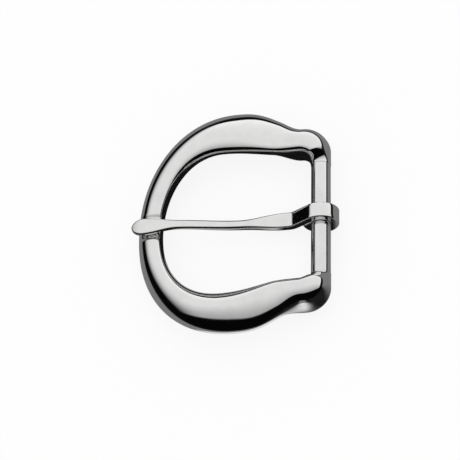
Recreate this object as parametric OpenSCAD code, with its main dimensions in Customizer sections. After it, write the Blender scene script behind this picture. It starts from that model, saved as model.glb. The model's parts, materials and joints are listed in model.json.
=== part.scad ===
// Heel-bar belt buckle: a cast horseshoe frame, a round heel bar held in its
// two lugs, and a tongue that swings on the bar and rests on the nose.
//
// The origin is the middle of the heel bar's axis, +Y runs along the bar,
// -X points at the nose and +Z is the front.

/* [Frame outline] */
// Distance from the bar's axis to the outer edge of the nose
frame_len = 55.5; // [44:0.1:66]
// Width over both arms at their widest
frame_w = 72.4; // [60:0.1:90]
// Plan width of the frame at the nose
nose_w = 7.4; // [5:0.1:9]
// Plan width of each arm at its widest
arm_w = 12.9; // [10:0.1:16]
// Distance from the bar's axis to the arm's widest point, on its outer edge
outer_swell_x = 24.8; // [18:0.2:30]
// Distance from the bar's axis to the arm's widest point, on its inner edge
inner_swell_x = 29; // [20:0.2:33]
// Roundness of the horseshoe: 2 is an ellipse, more is squarer
loop_power = 2.1; // [2:0.05:2.6]

/* [Frame height] */
// Height of the crown at the nose, above the frame's back plane
nose_h = 6.7; // [5:0.1:9]
// Height of the crown at the arms' widest point
arm_h = 10.6; // [8:0.2:13]
// Height of the crown where the arm becomes the lug
lug_h = 10; // [8:0.2:14]
// How far the back of the arm arches up off the back plane
back_lift = 4.6; // [3:0.2:6]
// Height of the section's widest line, as a share of its thickness
belt_share = 0.3; // [0.2:0.02:0.5]

/* [Frame section] */
// Flatness of the outer slope at the nose: 0 is round, below 0 is fuller, 0.11 is a straight bevel
nose_bevel = -0.04; // [-0.12:0.01:0.11]
// Flatness of the outer slope at the arm's widest point
arm_bevel = 0.06; // [-0.12:0.01:0.11]
// Flatness of the outer slope at the lug
lug_bevel = -0.1; // [-0.12:0.01:0.11]
// Flatness of the inner slope at the nose
nose_inner_bevel = -0.1; // [-0.12:0.01:0.11]
// Flatness of the inner slope at the arm's widest point
arm_inner_bevel = 0.05; // [-0.12:0.01:0.11]
// Flatness of the inner slope at the lug
lug_inner_bevel = -0.08; // [-0.12:0.01:0.11]
// How far the crown leans to the inside at the nose, as a share of the half width
nose_lean = 0.24; // [0:0.02:0.3]
// How far the crown leans to the inside at the arm's widest point
arm_lean = 0.08; // [0:0.02:0.3]
// How far the crown leans to the inside at the lug
lug_lean = 0.2; // [0:0.02:0.3]

/* [Lugs] */
// Clear gap between the lugs, for a 35 mm strap
strap_gap = 36; // [30:0.5:44]
// Depth of each lug along the bar, outside the gap
lug_depth = 11.6; // [9:0.1:14]
// Radius of the lug's outer corner in plan
corner_r = 7.3; // [4:0.1:9]
// Radius of the fillet between the arm's inner edge and the gap
fillet_r = 2.8; // [1.5:0.1:4]
// How far the lug's round neck stands proud of the bar
neck_proud = 0.1; // [0.1:0.1:1]

/* [Heel bar] */
// Diameter of the bar between the lugs
bar_d = 5.8; // [3.8:0.1:7]
// Diameter of the spigot at each end, held in the lug
spigot_d = 3.8; // [2.8:0.1:4.8]
// Depth of each spigot in its lug
spigot_len = 4; // [2.5:0.25:5.5]

/* [Tongue] */
// Thickness of the strip that is rolled round the bar
strip_t = 2.4; // [1.8:0.1:3.4]
// Radial clearance between the eye and the bar
eye_clear = 0.08; // [0.02:0.01:0.1]
// Width of the eye along the bar
eye_w = 4.8; // [3.6:0.1:6]
// Width of the shank at its waist
waist_w = 2.8; // [2.2:0.1:3.6]
// Thickness of the shank at its waist
waist_t = 2.3; // [1.8:0.1:3]
// Width of the rounded tip
tip_w = 5.4; // [4.2:0.1:6.6]
// Thickness of the tip
tip_t = 1.5; // [1.2:0.1:2.2]
// How far the tip reaches past the nose
tip_overhang = 1.1; // [0.5:0.1:3]
// Height of the waist's top face above the bar's axis
waist_top_z = 0.5; // [0:0.25:1.5]
// Gap between the tip and its seat in the nose, with the tongue down
seat_gap = 0.1; // [0.05:0.05:0.3]
// Where the tongue stands along the bar, off the middle
tongue_shift = 0.8; // [-2:0.1:2]

/* [Details] */
// Depth of the seat that the nose has for the tip
seat_d = 0.6; // [0.3:0.1:1]
// Width of the seam where the rolled eye closes
seam_w = 0.2; // [0.1:0.05:0.4]

/* [Hidden] */

bar_r = bar_d / 2;
neck_r = bar_r + neck_proud;
back_z = -neck_r;                    // the frame's back plane
gap_y = strap_gap / 2;

// Frame outline
half_w = frame_w / 2;
arm_in_y = half_w - arm_w;
lug_out_y = gap_y + lug_depth;
lug_in_y = gap_y + fillet_r;
corner_x = neck_r - corner_r;
fillet_x = -neck_r - fillet_r;
corner_share = 0.5;                  // part of the corner's rings that turn its outer edge
drop_start = 0.65;                   // share of the arm where the back starts down to the lug
outer_hold = 1.3;                    // above 1 the arm keeps its width further towards the lug
crown_hold = 1.6;                    // above 1 the crown holds its height further into the corner
round_hold = 1.5;                    // above 1 the section turns round later in the corner
back_bevel = -0.05;                  // below 0 the back is fuller than round
nose_shape = [nose_bevel, nose_inner_bevel, nose_lean];
arm_shape = [arm_bevel, arm_inner_bevel, arm_lean];
lug_shape = [lug_bevel, lug_inner_bevel, lug_lean];
nose_bunching = 1.4;                 // above 1 the rings are closer together at the nose
seat_side_room = 0.3;                // room between the tip and the seat, each side
seat_side_a = 32;                    // slope of the seat's sides
bore_overcut = 0.001;                // takes each bore just through the lug's face
nose_rings = 26;
arm_rings = 10;
corner_rings = 12;
frame_sides = 28;

// Tongue
eye_in_r = bar_r + eye_clear;
eye_out_r = eye_in_r + strip_t;
ramp_a = 34;                         // slope of the ramp down from the eye
seat_z = back_z + nose_h - seat_d;
tip_top_z = seat_z + seat_gap + tip_t;
tip_x = frame_len + tip_overhang;
ramp_sink = 0.05;                    // keeps the ramp from only grazing the eye and the bore
ramp_top_r = eye_out_r - ramp_sink;
ramp_under_r = ramp_top_r - strip_t;
bend_in_r = 3;                       // top face of the bend between ramp and shoulder
bend_out_r = bend_in_r + strip_t;
ramp_len = (ramp_top_r * cos(ramp_a) - waist_top_z - bend_in_r * (1 - cos(ramp_a))) / sin(ramp_a);
bend_x = -ramp_top_r * sin(ramp_a) - ramp_len * cos(ramp_a) - bend_in_r * sin(ramp_a);
shoulder_run = 1;                    // flat of the rolled part past the bend
shoulder_x = shoulder_run - bend_x;  // where the rolled part ends and the shank begins
root_inset = 0.05;                   // the shank's root lies this far inside the rolled part
root_w = eye_w - 2 * root_inset;
rise_end = frame_len - nose_w;
rise_share = 0.28;                   // share of the shank before it starts to climb to the nose
waist_share = 0.37;                  // share of the shank that narrows to the waist
spoon_lead = 6;                      // the shank starts to widen this far inside the nose
tip_round_share = 0.65;              // length of the tip's rounded end, as a share of its width
rise_start = blend(shoulder_x, rise_end, rise_share);
waist_start = blend(shoulder_x, rise_end, waist_share);
waist_end = rise_end - spoon_lead;
tip_round = tip_w * tip_round_share;
tip_droop = 0.4;                     // how far the tip bends down past the nose
tongue_sides = 24;

function smooth(u) = (1 - cos(180 * min(max(u, 0), 1))) / 2;
function blend(a, b, u) = a + (b - a) * u;
function signed_pow(v, e) = sign(v) * pow(abs(v), e);
function mirror_y(ring) = [for (p = ring) [p[0], -p[1], p[2]]];

// One upright cross-section of the frame, between its outer and inner edge.
// shape is the flatness of the outer slope, that of the inner slope, and the
// crown's lean. roundness 0 is the arm's crowned section, 1 is the circle round
// the bar.
function frame_ring(outer, inner, back, crown, shape, roundness) =
    let (
        mid = (outer + inner) / 2,
        half = (outer - inner) / 2,
        belt = blend(belt_share, 0.5, roundness),
        lean = shape[2] * (1 - roundness),
        tall = crown - back
    )
    [for (i = [0 : frame_sides - 1])
        let (
            a = 360 * i / frame_sides,
            flatness = a > 180 ? back_bevel : a > 90 ? shape[1] : shape[0],
            r = 1 - flatness * (1 - roundness) * pow(sin(2 * a), 2),
            c = r * cos(a),
            s = r * sin(a),
            across = mid + half * (c - lean * max(s, 0)),
            z = back + tall * (s >= 0 ? belt + (1 - belt) * s : belt * (1 + s))
        )
        [across[0], across[1], z + back_z]];

// From the nose round to the arm's widest point. The rings are closer
// together at the nose.
function nose_sweep() =
    [for (i = [0 : nose_rings - 1])
        let (
            t = pow(i / nose_rings, nose_bunching),
            c = pow(cos(90 * t), 2 / loop_power),
            s = pow(sin(90 * t), 2 / loop_power)
        )
        frame_ring(
            [-outer_swell_x - (frame_len - outer_swell_x) * c, half_w * s],
            [-inner_swell_x - (frame_len - nose_w - inner_swell_x) * c, arm_in_y * s],
            back_lift * smooth(t),
            blend(nose_h, arm_h, smooth(t)),
            blend(nose_shape, arm_shape, smooth(t)),
            0)];

// From the arm's widest point back to the lug.
function arm_sweep() =
    [for (i = [0 : arm_rings - 1])
        let (t = i / arm_rings)
        frame_ring(
            [blend(-outer_swell_x, corner_x, t), blend(half_w, lug_out_y, smooth(pow(t, outer_hold)))],
            [blend(-inner_swell_x, fillet_x, t), blend(arm_in_y, lug_in_y, smooth(t))],
            back_lift * (1 - smooth((t - drop_start) / (1 - drop_start))),
            blend(arm_h, lug_h, smooth(t)),
            blend(arm_shape, lug_shape, smooth(t)),
            0)];

// Round the lug's corner and down to the neck round the bar.
function corner_sweep() =
    [for (i = [0 : corner_rings])
        let (
            t = i / corner_rings,
            turn = 90 * min(t / corner_share, 1),
            run = max((t - corner_share) / (1 - corner_share), 0)
        )
        frame_ring(
            [corner_x + corner_r * sin(turn),
             blend(lug_out_y - corner_r * (1 - cos(turn)), gap_y, run)],
            [fillet_x + fillet_r * sin(90 * t), lug_in_y - fillet_r * (1 - cos(90 * t))],
            0,
            blend(lug_h, 2 * neck_r, smooth(pow(t, crown_hold))),
            lug_shape,
            smooth(pow(t, round_hold)))];

// Skin over a list of rings that all have the same number of points.
module skin(rings) {
    n = len(rings[0]);
    last = len(rings) - 1;
    points = [for (ring = rings) each ring];
    sides = [for (j = [0 : last - 1], i = [0 : n - 1])
        let (
            a = j * n + i,
            b = j * n + (i + 1) % n
        )
        each [[a, a + n, b], [b, a + n, b + n]]];
    caps = [[for (i = [0 : n - 1]) i], [for (i = [n - 1 : -1 : 0]) last * n + i]];
    polyhedron(points = points, faces = concat(sides, caps), convexity = 6);
}

module along_y(r, length) {
    rotate([-90, 0, 0]) cylinder(r = r, h = length, center = true, $fn = 64);
}

// Trough across the nose that the tongue's tip drops into.
module tip_seat() {
    floor_w = tip_w + 2 * seat_side_room;
    top_w = floor_w + 2 * seat_d / tan(seat_side_a);
    translate([-frame_len - nose_w / 2, tongue_shift, seat_z])
        rotate([90, 0, 90])
            linear_extrude(height = 2 * nose_w)
                polygon([[-floor_w / 2, 0], [floor_w / 2, 0], [top_w / 2, seat_d],
                         [top_w / 2, 2 * seat_d], [-top_w / 2, 2 * seat_d], [-top_w / 2, seat_d]]);
}

module frame() {
    half = concat(nose_sweep(), arm_sweep(), corner_sweep());
    rings = concat([for (j = [len(half) - 1 : -1 : 1]) mirror_y(half[j])], half);
    color("silver")
        difference() {
            skin(rings);
            for (side = [-1, 1])
                translate([0, side * (gap_y + spigot_len / 2), 0])
                    along_y(spigot_d / 2, spigot_len + 2 * bore_overcut);
            tip_seat();
        }
}

module bar() {
    color("silver")
        union() {
            along_y(bar_r, strap_gap);
            along_y(spigot_d / 2, strap_gap + 2 * spigot_len);
        }
}

// Side view of the strip rolled round the bar: the eye, the ramp down from it
// and the bend into the shoulder. The ramp's underside closes the eye, and the
// seam lies against it.
module rolled_strip() {
    c = cos(ramp_a);
    s = sin(ramp_a);
    foot = ramp_top_r * [-s, c] - ramp_len * [c, s];
    bend_mid = foot + bend_in_r * [-s, c];
    bend = [for (i = [0 : 6]) ramp_a * (1 - i / 6)];
    difference() {
        union() {
            difference() {
                circle(r = eye_out_r, $fn = 96);
                rotate(ramp_a)
                    translate([-eye_out_r - 1, ramp_under_r - seam_w])
                        square([eye_out_r + 1, seam_w + strip_t / 2]);
            }
            polygon(concat(
                [ramp_top_r * [-s, c]],
                [for (a = bend) bend_mid + bend_in_r * [sin(a), -cos(a)]],
                [[-shoulder_x - 1, waist_top_z], [-shoulder_x - 1, waist_top_z - strip_t]],
                [for (i = [6 : -1 : 0]) bend_mid + bend_out_r * [sin(bend[i]), -cos(bend[i])]],
                [ramp_under_r * [-s, c], [0, ramp_under_r], [0, ramp_top_r]]));
        }
        circle(r = eye_in_r, $fn = 96);
    }
}

// One cross-section of the shank, square across the buckle's length.
function shank_ring(x, mid_z, width, thick, power) =
    [for (i = [0 : tongue_sides - 1])
        let (a = 360 * i / tongue_sides)
        [x,
         tongue_shift - width / 2 * signed_pow(cos(a), 2 / power),
         mid_z + thick / 2 * signed_pow(sin(a), 2 / power)]];

// Plan width, thickness, edge sharpness and top face at a distance from the bar.
function shank_w(d) =
    d < waist_end
        ? blend(root_w, waist_w, narrowing(d))
        : blend(waist_w, tip_w, smooth((d - waist_end) / (tip_x - tip_round - waist_end)));
function rise(d) = smooth((d - rise_start) / (rise_end - rise_start));
function narrowing(d) = smooth((d - shoulder_x) / (waist_start - shoulder_x));
function shank_t(d) = blend(blend(strip_t - 2 * root_inset, waist_t, narrowing(d)), tip_t, rise(d));
function shank_power(d) = blend(6, 3, narrowing(d));
function droop(d) =
    tip_droop * pow(max(d - rise_end - nose_w / 2, 0) / (tip_overhang + nose_w / 2), 2);
function shank_top(d) = blend(waist_top_z - root_inset, tip_top_z, rise(d)) - droop(d);

function shank_rings() =
    [for (i = [0 : 26])
        let (d = blend(shoulder_x, tip_x - tip_round, i / 26))
        shank_ring(-d, shank_top(d) - shank_t(d) / 2, shank_w(d), shank_t(d), shank_power(d))];

function tip_rings() =
    [for (a = [12 : 11 : 78])
        let (d = tip_x - tip_round + tip_round * sin(a) / sin(78))
        shank_ring(-d, shank_top(d) - tip_t / 2, tip_w * cos(a), tip_t * pow(cos(a), 0.3), 3)];

module tongue() {
    color("gainsboro")
        union() {
            translate([0, tongue_shift, 0])
                rotate([90, 0, 0])
                    linear_extrude(height = eye_w, center = true)
                        rolled_strip();
            skin(concat(shank_rings(), tip_rings()));
        }
}

frame();
bar();
tongue();
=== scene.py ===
"""Looks of a heel-bar belt buckle: a polished horseshoe frame, its heel bar and the tongue that swings on it.

Lengths are in millimetres until a mesh is made, which is in metres. The origin is the middle of
the heel bar's axis, +Y runs along the bar, -X points at the nose and +Z is the front.
"""

import json
import math

import bpy
import numpy as np
from mathutils import Matrix, Vector


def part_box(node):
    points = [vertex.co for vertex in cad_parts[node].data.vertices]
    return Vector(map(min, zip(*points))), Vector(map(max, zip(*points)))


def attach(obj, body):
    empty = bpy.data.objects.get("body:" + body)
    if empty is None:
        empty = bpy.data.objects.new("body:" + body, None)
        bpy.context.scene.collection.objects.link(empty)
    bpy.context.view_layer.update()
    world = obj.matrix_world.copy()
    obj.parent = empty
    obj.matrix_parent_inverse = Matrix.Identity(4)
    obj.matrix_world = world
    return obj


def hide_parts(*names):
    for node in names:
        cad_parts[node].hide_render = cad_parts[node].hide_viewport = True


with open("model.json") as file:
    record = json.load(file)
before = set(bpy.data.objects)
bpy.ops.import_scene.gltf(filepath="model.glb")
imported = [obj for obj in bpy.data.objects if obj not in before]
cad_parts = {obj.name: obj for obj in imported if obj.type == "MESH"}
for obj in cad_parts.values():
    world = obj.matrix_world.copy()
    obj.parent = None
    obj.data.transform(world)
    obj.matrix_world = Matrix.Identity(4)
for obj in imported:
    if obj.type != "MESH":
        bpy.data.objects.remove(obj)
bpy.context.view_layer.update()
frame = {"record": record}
MM = 0.001


def box_mm(node):
    """Lowest and highest corner of a CAD node, in millimetres."""
    low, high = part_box(node)
    return np.array(low) / MM, np.array(high) / MM


FRAME_LOW, FRAME_HIGH = box_mm("frame")
BAR_LOW, BAR_HIGH = box_mm("bar")
TONGUE_LOW, TONGUE_HIGH = box_mm("tongue")
STRAP_BAR = next(m for m in frame["record"]["mounts"] if m["name"] == "strap_bar")

# Frame
FRAME_LEN = -FRAME_LOW[0]
HALF_W = FRAME_HIGH[1]
NECK_R = FRAME_HIGH[0]
BACK_Z = FRAME_LOW[2]
GAP_Y = STRAP_BAR["dims"]["length_mm"] / 2
NOSE_W = 7.4
ARM_W = 12.9
OUTER_SWELL_X = 24.8
INNER_SWELL_X = 29.0
LOOP_POWER = 2.1
NOSE_BUNCHING = 1.4
NOSE_H = 6.7
ARM_H = 10.6
LUG_H = 10.0
BACK_LIFT = 4.6
LUG_DEPTH = 11.6
CORNER_R = 7.3
FILLET_R = 2.8
CORNER_SHARE = 0.5
DROP_START = 0.65
OUTER_HOLD = 1.3
CROWN_HOLD = 1.6
ROUND_HOLD = 1.5
BELT_SHARE = 0.3
# Flatness of the outer slope, flatness of the inner slope, lean of the crown
NOSE_SHAPE = np.array([-0.04, -0.1, 0.24])
ARM_SHAPE = np.array([0.06, 0.05, 0.08])
LUG_SHAPE = np.array([-0.1, -0.08, 0.2])
BACK_BEVEL = -0.05
SEAT_DEPTH = 0.6
SEAT_ROOM = 0.3
SEAT_EASE = 1.5

# Bar
BAR_R = STRAP_BAR["dims"]["r_mm"]
BAR_SINK = 1.0

# Tongue
TONGUE_Y = (TONGUE_LOW[1] + TONGUE_HIGH[1]) / 2
TIP_W = TONGUE_HIGH[1] - TONGUE_LOW[1]
TIP_X = -TONGUE_LOW[0]
EYE_OUT_R = TONGUE_HIGH[0]
EYE_CLEAR = 0.08
EYE_IN_R = BAR_R + EYE_CLEAR
STRIP_T = EYE_OUT_R - EYE_IN_R
EYE_W = 4.8
WAIST_W = 2.8
WAIST_T = 2.3
TIP_T = 1.5
TIP_DROOP = 0.4
WAIST_TOP_Z = 0.5
SEAT_GAP = 0.1
RAMP_ANGLE = math.radians(34)
BEND_IN_R = 3.0
BEND_R = BEND_IN_R + STRIP_T / 2
SHOULDER_RUN = 1.0
SEAM_W = 0.2
SEAM_ROWS = 60
RISE_SHARE = 0.28
WAIST_SHARE = 0.37
SPOON_LEAD = 6
TIP_ROUND_SHARE = 0.65
TIP_THINNING = 0.25
EYE_EDGE = 0.3
SHANK_EDGE = 0.7
TIP_EDGE_SHARE = 0.7
FULL_ROUND = 0.49


def smooth(u):
    """Half a cosine wave, from 0 at 0 to 1 at 1, level at both ends and outside them."""
    return (1 - np.cos(np.pi * np.clip(u, 0, 1))) / 2


def blend(a, b, u):
    """Straight mix from a at u = 0 to b at u = 1."""
    return a + (b - a) * u


def mesh_from_grid(name, points):
    """Closed skin over a grid of points in millimetres: rows run along the piece, columns go round it.

    The first and the last row are each closed by a fan to their own middle point.
    """
    rows, cols, _ = points.shape
    index = np.arange(rows * cols).reshape(rows, cols)
    here, right = index[:-1], np.roll(index[:-1], -1, 1)
    up, up_right = index[1:], np.roll(index[1:], -1, 1)
    quads = np.stack([here, up, up_right, right], -1).reshape(-1, 4)
    first, last = rows * cols, rows * cols + 1
    middles = np.stack([points[0].mean(0), points[-1].mean(0)])
    start_fan = np.stack([index[0], np.roll(index[0], -1), np.full(cols, first)], -1)
    end_fan = np.stack([np.roll(index[-1], -1), index[-1], np.full(cols, last)], -1)
    mesh = bpy.data.meshes.new(name)
    verts = np.concatenate([points.reshape(-1, 3), middles]) * MM
    mesh.from_pydata(verts.tolist(), [], quads.tolist() + start_fan.tolist() + end_fan.tolist())
    mesh.validate()
    mesh.shade_smooth()
    mesh.update()
    piece = bpy.data.objects.new(name, mesh)
    bpy.context.scene.collection.objects.link(piece)
    return piece


# ------------------------------------------------------------------ frame


def nose_rows(count):
    """From the nose to the arm's widest point: two superellipse quarters, the outer and the inner edge."""
    t = (np.arange(count) / count) ** NOSE_BUNCHING
    c = np.cos(np.pi / 2 * t) ** (2 / LOOP_POWER)
    s = np.sin(np.pi / 2 * t) ** (2 / LOOP_POWER)
    outer = np.stack([-OUTER_SWELL_X - (FRAME_LEN - OUTER_SWELL_X) * c, HALF_W * s], -1)
    inner_len = FRAME_LEN - NOSE_W - INNER_SWELL_X
    inner = np.stack([-INNER_SWELL_X - inner_len * c, (HALF_W - ARM_W) * s], -1)
    back = BACK_LIFT * smooth(t)
    crown = blend(NOSE_H, ARM_H, smooth(t))
    shape = blend(NOSE_SHAPE, ARM_SHAPE, smooth(t)[:, None])
    return outer, inner, back, crown, shape, 0 * t


def arm_rows(count):
    """From the widest point to the lug: both edges step in by half a cosine wave."""
    t = np.arange(count) / count
    outer = np.stack([
        blend(-OUTER_SWELL_X, NECK_R - CORNER_R, t),
        blend(HALF_W, GAP_Y + LUG_DEPTH, smooth(t ** OUTER_HOLD)),
    ], -1)
    inner = np.stack([
        blend(-INNER_SWELL_X, -NECK_R - FILLET_R, t),
        blend(HALF_W - ARM_W, GAP_Y + FILLET_R, smooth(t)),
    ], -1)
    back = BACK_LIFT * (1 - smooth((t - DROP_START) / (1 - DROP_START)))
    crown = blend(ARM_H, LUG_H, smooth(t))
    shape = blend(ARM_SHAPE, LUG_SHAPE, smooth(t)[:, None])
    return outer, inner, back, crown, shape, 0 * t


def corner_rows(count):
    """Round the lug's corner: the outer edge turns an arc, then runs straight to the gap.

    The inner edge is a fillet.
    """
    t = np.linspace(0, 1, count)
    turn = np.pi / 2 * np.clip(t / CORNER_SHARE, 0, 1)
    run = np.clip((t - CORNER_SHARE) / (1 - CORNER_SHARE), 0, 1)
    lug_y = GAP_Y + LUG_DEPTH
    outer = np.stack([
        NECK_R - CORNER_R + CORNER_R * np.sin(turn),
        blend(lug_y - CORNER_R * (1 - np.cos(turn)), GAP_Y, run),
    ], -1)
    inner = np.stack([
        -NECK_R - FILLET_R + FILLET_R * np.sin(np.pi / 2 * t),
        GAP_Y + FILLET_R * np.cos(np.pi / 2 * t),
    ], -1)
    crown = blend(LUG_H, 2 * NECK_R, smooth(t ** CROWN_HOLD))
    return outer, inner, 0 * t, crown, LUG_SHAPE + 0 * t[:, None], smooth(t ** ROUND_HOLD)


def frame_points(nose_count=170, arm_count=60, corner_count=60, sides=112):
    """Sections of the frame along its loop, from one neck round the nose to the other.

    A section lies upright between its outer and inner edge. Going round it by the angle a, it is the ellipse
    (cos a, sin a), drawn in by flatness * sin(2a)^2, with its widest line at the belt's height and its crown
    leaning to the inside.
    """
    parts = zip(nose_rows(nose_count), arm_rows(arm_count), corner_rows(corner_count))
    outer, inner, back, crown, shape, roundness = [np.concatenate(p) for p in parts]
    outer, inner = outer[:, None], inner[:, None]
    back, crown, roundness = back[:, None], crown[:, None], roundness[:, None]
    outer_bevel, inner_bevel, lean = np.split(shape, 3, axis=1)
    a = 2 * np.pi * np.arange(sides) / sides
    flatness = np.where(a > np.pi, BACK_BEVEL, np.where(a > np.pi / 2, inner_bevel, outer_bevel))
    r = 1 - flatness * (1 - roundness) * np.sin(2 * a) ** 2
    c, s = r * np.cos(a), r * np.sin(a)
    across = c - lean * (1 - roundness) * np.maximum(s, 0)
    plan = (outer + inner) / 2 + (outer - inner) / 2 * across[..., None]
    belt = blend(BELT_SHARE, 0.5, roundness)
    tall = crown - back
    z = back + tall * np.where(s >= 0, belt + (1 - belt) * s, belt * (1 + s)) + BACK_Z
    half = np.concatenate([plan, z[..., None]], -1)
    mirrored = half[:0:-1] * np.array([1, -1, 1])
    return np.concatenate([mirrored, half])


def sink_seat(points):
    """Lowers the nose's crown into a shallow seat: flat under the tongue, eased up on both sides."""
    x, y, z = np.moveaxis(points, -1, 0)
    floor_half = TIP_W / 2 + SEAT_ROOM
    window = 1 - smooth((np.abs(y - TONGUE_Y) - floor_half) / SEAT_EASE)
    belt_z = BACK_Z + NOSE_H * BELT_SHARE
    height = np.clip((z - belt_z) / (NOSE_H * (1 - BELT_SHARE)), 0, 1)
    near_nose = x < -INNER_SWELL_X
    return points - np.stack([0 * x, 0 * x, near_nose * window * height * SEAT_DEPTH], -1)


def make_frame():
    points = sink_seat(frame_points())
    return mesh_from_grid("frame_casting", points)


# ------------------------------------------------------------------ bar


def make_bar(rows=60, sides=96):
    """Round bar between the lugs, its ends just inside them: a circle carried along Y."""
    y = np.linspace(-GAP_Y - BAR_SINK, GAP_Y + BAR_SINK, rows)[:, None]
    a = 2 * np.pi * np.arange(sides) / sides
    x = BAR_R * np.cos(a) + 0 * y
    z = -BAR_R * np.sin(a) + 0 * y
    return mesh_from_grid("heel_bar", np.stack([x, y + 0 * a, z], -1))


# ------------------------------------------------------------------ tongue


def rounded_section(width, thick, radius, corner_points=11, side_points=5, bluntness=1.6):
    """Rectangle with eased corners, as offsets (across, up) for each row: four arcs joined by straight sides.

    An arc is (cos(a)^bluntness, sin(a)^bluntness): round at 1, a straight chamfer at 2.
    """
    width, thick, radius = (np.asarray(v, float)[:, None] for v in (width, thick, radius))
    turns = np.linspace(0, np.pi / 2, corner_points)
    across, up = [], []
    for quarter, (sx, sy) in enumerate([(1, 1), (-1, 1), (-1, -1), (1, -1)]):
        a = turns + quarter * np.pi / 2
        across.append(sx * (width / 2 - radius + radius * np.abs(np.cos(a)) ** bluntness))
        up.append(sy * (thick / 2 - radius + radius * np.abs(np.sin(a)) ** bluntness))
    share = np.linspace(0, 1, side_points + 2)[1:-1]
    ring_across, ring_up = [], []
    for i in range(4):
        j = (i + 1) % 4
        ring_across += [across[i], blend(across[i][:, -1:], across[j][:, :1], share)]
        ring_up += [up[i], blend(up[i][:, -1:], up[j][:, :1], share)]
    return np.concatenate(ring_across, 1), np.concatenate(ring_up, 1)


def eye_path(count):
    """Strip's middle line round the bar, from the seam over the bottom and the top to the ramp: an arc."""
    seam_turn = math.acos((EYE_IN_R - SEAM_W) / RAMP_R)
    angle = np.linspace(2 * np.pi - RAMP_ANGLE - seam_turn, -RAMP_ANGLE, count)
    return np.stack([RAMP_R * np.sin(angle), RAMP_R * np.cos(angle)], -1), angle


def rise(d):
    """Share of the climb from the waist to the nose at a distance d from the bar."""
    return smooth((d - RISE_START) / (NOSE_INSIDE - RISE_START))


def narrowing(d):
    """Share of the way from the shoulder to the waist at a distance d from the bar."""
    return smooth((d - SHOULDER_X) / (WAIST_START - SHOULDER_X))


def shank_thick(d):
    return blend(blend(STRIP_T, WAIST_T, narrowing(d)), TIP_T, rise(d))


def shank_top(d):
    """Height of the tongue's top face: level at the waist, up to the nose, then a slight droop past it."""
    tip_top = BACK_Z + NOSE_H - SEAT_DEPTH + SEAT_GAP + TIP_T
    past = np.clip(d - (FRAME_LEN - NOSE_W / 2), 0, None) / (TIP_X - FRAME_LEN + NOSE_W / 2)
    return blend(WAIST_TOP_Z, tip_top, rise(d)) - TIP_DROOP * past ** 2


def shank_width(d):
    """Plan width: the eye's width at the shoulder, eased in to the waist and out to the rounded tip."""
    spoon = blend(WAIST_W, TIP_W, smooth((d - WAIST_END) / (TIP_X - TIP_ROUND - WAIST_END)))
    return np.where(d < WAIST_END, blend(EYE_W, WAIST_W, narrowing(d)), spoon)


RAMP_R = EYE_OUT_R - STRIP_T / 2
BEND_DROP = BEND_R * (1 - math.cos(RAMP_ANGLE))
RAMP_DROP = RAMP_R * math.cos(RAMP_ANGLE) - (WAIST_TOP_Z - STRIP_T / 2) - BEND_DROP
RAMP_LEN = RAMP_DROP / math.sin(RAMP_ANGLE)
RAMP_FOOT = np.array([
    -RAMP_R * math.sin(RAMP_ANGLE) - RAMP_LEN * math.cos(RAMP_ANGLE),
    RAMP_R * math.cos(RAMP_ANGLE) - RAMP_LEN * math.sin(RAMP_ANGLE),
])
SHOULDER_X = -RAMP_FOOT[0] + BEND_R * math.sin(RAMP_ANGLE) + SHOULDER_RUN
TIP_ROUND = TIP_W * TIP_ROUND_SHARE
NOSE_INSIDE = FRAME_LEN - NOSE_W
RISE_START = blend(SHOULDER_X, NOSE_INSIDE, RISE_SHARE)
WAIST_START = blend(SHOULDER_X, NOSE_INSIDE, WAIST_SHARE)
WAIST_END = NOSE_INSIDE - SPOON_LEAD


def tongue_rows():
    """Middle line (x, z), slope, width, thickness and edge radius of the strip, from the seam to the tip."""
    eye, angle = eye_path(150)
    t = np.linspace(0, 1, 14)[1:, None]
    ramp = blend(eye[-1], RAMP_FOOT, t)
    turn = np.linspace(RAMP_ANGLE, 0, 20)[1:]
    bend = RAMP_FOOT + BEND_R * np.stack([
        np.sin(turn) - math.sin(RAMP_ANGLE), math.cos(RAMP_ANGLE) - np.cos(turn)], -1)
    d = np.linspace(-bend[-1, 0], TIP_X - TIP_ROUND, 150)[1:]
    shank = np.stack([-d, shank_top(d) - shank_thick(d) / 2], -1)
    a = np.linspace(0, np.pi / 2, 40)[1:-1]
    e = TIP_X - TIP_ROUND * (1 - np.sin(a))
    tip = np.stack([-e, shank_top(e) - TIP_T / 2], -1)

    line = np.concatenate([eye, ramp, bend, shank, tip])
    slope = np.concatenate([angle, np.full(len(ramp), -RAMP_ANGLE), -turn, np.zeros(len(d) + len(e))])
    flat_rows = len(eye) + len(ramp) + len(bend)
    width = np.concatenate([np.full(flat_rows, EYE_W), shank_width(d), TIP_W * np.cos(a)])
    tip_thick = TIP_T * np.cos(a) ** TIP_THINNING
    thick = np.concatenate([np.full(flat_rows, STRIP_T), shank_thick(d), tip_thick])
    edge = blend(EYE_EDGE, SHANK_EDGE, narrowing(d)) * blend(1, TIP_EDGE_SHARE, rise(d))
    tip_edge = np.minimum(edge[-1], FULL_ROUND * np.minimum(TIP_W * np.cos(a), tip_thick))
    radius = np.concatenate([np.full(flat_rows, EYE_EDGE), edge, tip_edge])
    return line, slope, width, thick, radius, len(eye)


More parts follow.
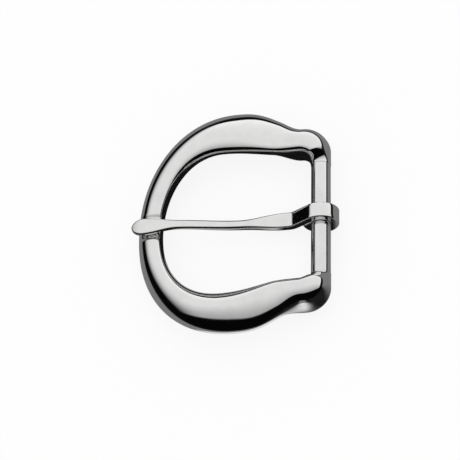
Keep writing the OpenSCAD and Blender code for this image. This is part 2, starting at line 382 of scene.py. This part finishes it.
def tongue_points():
    """Rounded rectangle carried along the strip's middle line, upright to it.

    Round the eye, the rows near the seam lean over so that the last one lies along the ramp's underside.
    """
    line, slope, width, thick, radius, eye_rows = tongue_rows()
    across, up = rounded_section(width, thick, radius)
    x = line[:, :1] + up * np.sin(slope)[:, None]
    z = line[:, 1:] + up * np.cos(slope)[:, None]
    r = RAMP_R + up[:eye_rows]
    end_r = EYE_IN_R - SEAM_W
    lean = np.arccos(np.clip(end_r / r, -1, 1)) - math.acos(end_r / RAMP_R)
    share = (1 - np.arange(eye_rows) / SEAM_ROWS).clip(0, 1)[:, None] ** 2
    angle = slope[:eye_rows, None] - lean * share
    x[:eye_rows], z[:eye_rows] = r * np.sin(angle), r * np.cos(angle)
    return np.stack([x, TONGUE_Y - across, z], -1)


def make_tongue():
    return mesh_from_grid("tongue_strip", tongue_points())


# ------------------------------------------------------------------ materials


class Value:
    """A shader socket that adds Math nodes when it is used in arithmetic."""

    def __init__(self, nodes, socket):
        self.nodes, self.socket = nodes, socket

    def _math(self, operation, *others, reflected=False):
        args = [self, *others]
        if reflected:
            args.reverse()
        return self.nodes.add("ShaderNodeMath", {"operation": operation}, dict(enumerate(args)))

    def __add__(self, other): return self._math("ADD", other)
    def __radd__(self, other): return self._math("ADD", other, reflected=True)
    def __sub__(self, other): return self._math("SUBTRACT", other)
    def __rsub__(self, other): return self._math("SUBTRACT", other, reflected=True)
    def __mul__(self, other): return self._math("MULTIPLY", other)
    def __rmul__(self, other): return self._math("MULTIPLY", other, reflected=True)
    def __truediv__(self, other): return self._math("DIVIDE", other)
    def __pow__(self, other): return self._math("POWER", other)

    def step(self, low, high):
        """0 below low, 1 above high, smooth between."""
        return self.nodes.add("ShaderNodeMapRange", {"interpolation_type": "SMOOTHSTEP"}, {
            "Value": self, "From Min": low, "From Max": high})


class Nodes:
    """The nodes of one material or world."""

    def __init__(self, owner):
        owner.use_nodes = True
        self.tree = owner.node_tree
        self.tree.nodes.clear()

    def add(self, kind, settings=None, inputs=None, output=0):
        """Makes a node, sets its settings and sockets, and returns one output, if it has any."""
        node = self.tree.nodes.new(kind)
        for key, value in (settings or {}).items():
            setattr(node, key, value)
        for key, value in (inputs or {}).items():
            if isinstance(value, Value):
                self.tree.links.new(value.socket, node.inputs[key])
            else:
                node.inputs[key].default_value = value
        return Value(self, node.outputs[output]) if node.outputs else None

    def mix_colour(self, factor, a, b):
        """Mix of two colours by a factor."""
        return self.add("ShaderNodeMix", {"data_type": "RGBA"}, {0: factor, 6: a, 7: b}, output=2)


def polished_metal(name, tint, roughness, grain_along):
    """Bright plated metal: a mirror polish with fine buffing lines, faint waves and a little wear."""
    material = bpy.data.materials.new(name)
    n = Nodes(material)
    place = n.add("ShaderNodeTexCoord", output=3)
    stretch = [2600.0, 2600.0, 2600.0]
    stretch[grain_along] = 160.0
    lines_place = n.add("ShaderNodeVectorMath", {"operation": "MULTIPLY"}, {0: place, 1: stretch})
    lines = n.add("ShaderNodeTexNoise", {}, {"Vector": lines_place, "Scale": 1.0, "Detail": 3.0})
    cloud = n.add("ShaderNodeTexNoise", {}, {
        "Vector": place, "Scale": 220.0, "Detail": 4.0, "Roughness": 0.6})
    waves = n.add("ShaderNodeTexNoise", {}, {"Vector": place, "Scale": 90.0, "Detail": 1.0})
    pits = n.add("ShaderNodeTexVoronoi", {}, {"Vector": place, "Scale": 900.0})
    specks = 1 - pits.step(0.02, 0.09)
    colour = n.mix_colour(cloud.step(0.35, 0.75), (*tint, 1), (*(c * 0.93 for c in tint), 1))
    rough = roughness + cloud.step(0.4, 0.8) * 0.035 + (lines - 0.5) * 0.05 + specks * 0.04
    height = waves * 0.6 + lines * 0.012 - specks * 0.004
    bump = n.add("ShaderNodeBump", {}, {"Strength": 0.35, "Distance": 0.00012, "Height": height})
    shader = n.add("ShaderNodeBsdfPrincipled", {}, {
        "Base Color": colour, "Metallic": 1.0, "Roughness": rough, "Normal": bump})
    n.add("ShaderNodeOutputMaterial", {}, {"Surface": shader})
    return material


# ------------------------------------------------------------------ pieces


def dress(piece, body, node, material):
    """Gives a piece its material and its body, and hides the CAD node it stands for."""
    piece.data.materials.append(material)
    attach(piece, body)
    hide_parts(node)


CASTING = polished_metal("polished_casting", (0.80, 0.80, 0.795), 0.055, 0)
ROD = polished_metal("polished_rod", (0.80, 0.80, 0.80), 0.075, 1)
STRIP = polished_metal("polished_strip", (0.81, 0.81, 0.805), 0.07, 0)
dress(make_frame(), "frame", "frame", CASTING)
dress(make_bar(), "frame", "bar", ROD)
dress(make_tongue(), "tongue", "tongue", STRIP)


# ------------------------------------------------------------------ stage


TABLE_REACH = 3000
TABLE_GAP = 0.05
PANEL_Z = 66.0


def sheet(name, low, high, z):
    """Flat rectangle of the stage at one height, its corners in millimetres."""
    corners = [(low[0], low[1], z), (high[0], low[1], z), (high[0], high[1], z), (low[0], high[1], z)]
    mesh = bpy.data.meshes.new(name)
    mesh.from_pydata((np.array(corners) * MM).tolist(), [], [(0, 1, 2, 3)])
    piece = bpy.data.objects.new(name, mesh)
    bpy.context.scene.collection.objects.link(piece)
    material = bpy.data.materials.new(name)
    mesh.materials.append(material)
    return piece, Nodes(material)


def place_mm(n):
    """The x, y and z of the point being shaded, in millimetres."""
    place = n.add("ShaderNodeTexCoord", output=3)
    split = n.add("ShaderNodeSeparateXYZ", {}, {0: place})
    return [Value(n, split.socket.node.outputs[i]) / MM for i in range(3)]


def grey(n, level):
    """A colour with the same level in all three channels."""
    return n.add("ShaderNodeCombineColor", {}, {"Red": level, "Green": level, "Blue": level})


def make_floor():
    """Large pale table top just under the buckle.

    Camera rays see it evenly white. Reflection rays see a painted reflection instead: painted shade under the
    buckle and beside the lug, painted light beside the near arm and in the near half of the loop, grey
    further out and dark again towards the walls.
    """
    low, high = (-TABLE_REACH, -TABLE_REACH), (TABLE_REACH, TABLE_REACH)
    _, n = sheet("table_top", low, high, TONGUE_LOW[2] - TABLE_GAP)
    x, y, _ = place_mm(n)
    # Painted reflection of the table, seen only by reflection rays: a grey base that gets darker far out.
    away = (((x + FRAME_LEN / 2) / 32.0) ** 2.0 + (y / 47.0) ** 2.0) ** 0.5
    # Painted light: a bright pool on the table beside the near arm.
    painted_light_near_arm = 1.0 - (((x + 20.0) / 26.0) ** 2.0 + ((y + 46.0) / 14.0) ** 2.0).step(0.6, 1.3)
    level = 0.23 + painted_light_near_arm * 0.7 - away.step(3.0, 6.5) * 0.2
    # Painted shade: a contact shadow over the frame's footprint.
    under = 1.0 - (((x + 26.5) / 29.0) ** 2.0 + (y / 37.0) ** 2.0).step(1.0, 1.15)
    # Painted light: the loop's near half, beside the tongue, is lifted brighter.
    in_loop = 1.0 - (((x + 24.0) / 22.0) ** 2.0 + (y / 21.0) ** 2.0).step(0.85, 1.05)
    painted_light_in_loop = in_loop * (0.0 - y).step(3.1, 3.6) * (-12.0 - x).step(0.0, 4.0)
    # Painted shade beside the lug.
    painted_shade_by_lug = x.step(-8.0, 4.0) * (0.0 - y).step(16.0, 30.0)
    level = level * (1.0 - under * 0.97) * (1.0 - painted_shade_by_lug * 0.95) + painted_light_in_loop * 0.45
    # The painted shade and light glow from the table for reflection rays only.
    glow = n.add("ShaderNodeEmission", {}, {"Color": grey(n, level)})
    paper = n.add("ShaderNodeBsdfPrincipled", {}, {
        "Base Color": (0.93, 0.93, 0.93, 1), "Roughness": 0.9, "Specular IOR Level": 0.0})
    white = n.add("ShaderNodeEmission", {}, {"Color": (1, 1, 1, 1), "Strength": 1.0})
    lit = n.add("ShaderNodeMixShader", {}, {0: 0.85, 1: paper, 2: white})
    mirrored = n.add("ShaderNodeLightPath", output=3)
    shader = n.add("ShaderNodeMixShader", {}, {0: mirrored, 1: lit, 2: glow})
    n.add("ShaderNodeOutputMaterial", {}, {"Surface": shader})


def make_soft_box():
    """Wide soft light panel over the far side of the table, dimmer towards its near edge.

    Only metal sees it.
    """
    panel, n = sheet("light_panel", (-250, -120), (320, 420), PANEL_Z)
    x, y, _ = place_mm(n)
    inside = y.step(-72.0, -62.0) * (300.0 - y).step(0.0, 30.0)
    inside = inside * x.step(-185.0, -70.0) * (270.0 - x).step(0.0, 60.0)
    level = 0.002 + inside * (0.45 + y.step(-70.0, 10.0) * 0.45 + y.step(20.0, 200.0) * 0.2)
    glow = n.add("ShaderNodeEmission", {}, {"Color": grey(n, level)})
    n.add("ShaderNodeOutputMaterial", {}, {"Surface": glow})
    panel.visible_camera = False
    panel.visible_diffuse = False
    panel.visible_shadow = False


def make_studio():
    """Even white room for the table top, and a dark one for reflections."""
    world = bpy.data.worlds.new("studio")
    bpy.context.scene.world = world
    n = Nodes(world)
    mirrored = n.add("ShaderNodeLightPath", output=3)
    strength = 1.0 - mirrored * 0.998
    sky = n.add("ShaderNodeBackground", {}, {"Color": (1, 1, 1, 1), "Strength": strength})
    n.add("ShaderNodeOutputWorld", {}, {"Surface": sky})


def make_camera():
    """Long lens from above and to the right of the buckle's front edge, with +Y pointing up."""
    towards = Vector((0.2081, -0.4607, 0.0))
    towards.z = math.sqrt(1 - towards.length_squared)
    aim = Vector((-27.4, -0.7, 0.0)) * MM
    distance, roll = 0.741, 0.0197
    right = Vector((0, 1, 0)).cross(towards).normalized()
    up = towards.cross(right)
    right, up = (right * math.cos(roll) + up * math.sin(roll), up * math.cos(roll) - right * math.sin(roll))
    camera = bpy.data.cameras.new("camera")
    camera.lens = 196.1
    camera.sensor_width = 36
    camera.clip_start = 0.05
    holder = bpy.data.objects.new("camera", camera)
    turn = Matrix((right, up, towards)).transposed().to_4x4()
    holder.matrix_world = Matrix.Translation(aim + towards * distance) @ turn
    bpy.context.scene.collection.objects.link(holder)
    bpy.context.scene.camera = holder


make_floor()
make_soft_box()
make_studio()
make_camera()
bpy.context.scene.view_settings.view_transform = "Standard"
